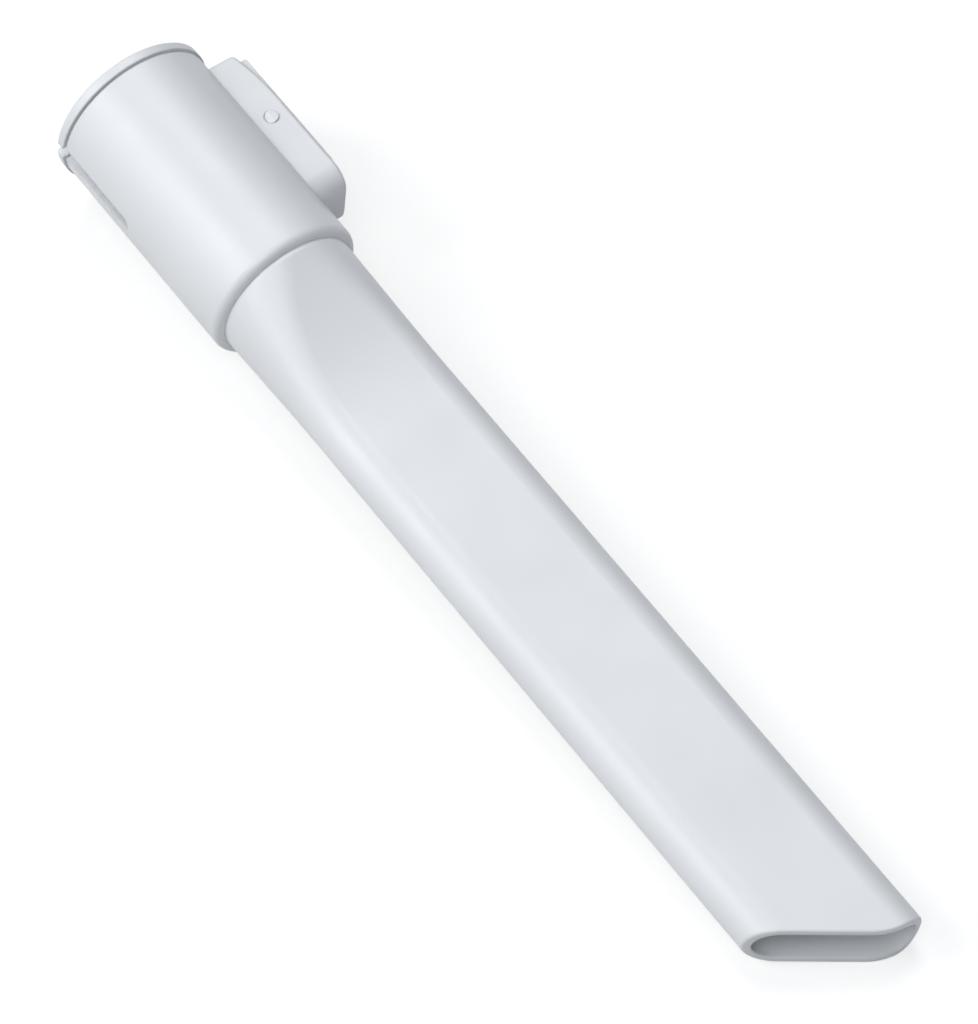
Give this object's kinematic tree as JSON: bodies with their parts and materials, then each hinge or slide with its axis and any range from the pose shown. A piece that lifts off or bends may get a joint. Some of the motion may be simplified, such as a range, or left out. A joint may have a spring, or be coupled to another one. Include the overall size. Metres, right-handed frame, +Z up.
{
  "type": "vacuum crevice tool",
  "caption": "Slim white vacuum crevice tool: round socket collar with a hinged release lever and key slot, nozzle flattening to a slanted, thin-walled mouth.",
  "frame": {"origin": "centre of the socket's open end, on the socket's axis", "axes": "+X from the socket towards the mouth along the floor, +Y towards the release lever, +Z up, out of the nozzle's flat face; the tool lies on its shoulder and its lower lip"},
  "size_m": [0.2771, 0.0481, 0.0442],
  "materials": {
    "body_plastic": "smooth satin white moulding",
    "lever_plastic": "smooth satin white moulding",
    "spring_steel": "bright drawn wire"
  },
  "bodies": {
    "body": {"crevice_body": "body_plastic", "return_spring": "spring_steel"},
    "lever": {"release_lever": "lever_plastic"}
  },
  "joints": [
    {"name": "lever_hinge", "type": "hinge", "parent": "body", "child": "lever", "pos_m": [0.02675, 0.0219, -0.0016], "axis": [0.0598, 0, 0.9982], "range_deg": [0, 7], "stiffness_Nm_per_rad": 0.4, "springref_deg": -5.73, "deforming": ["return_spring"]}
  ]
}
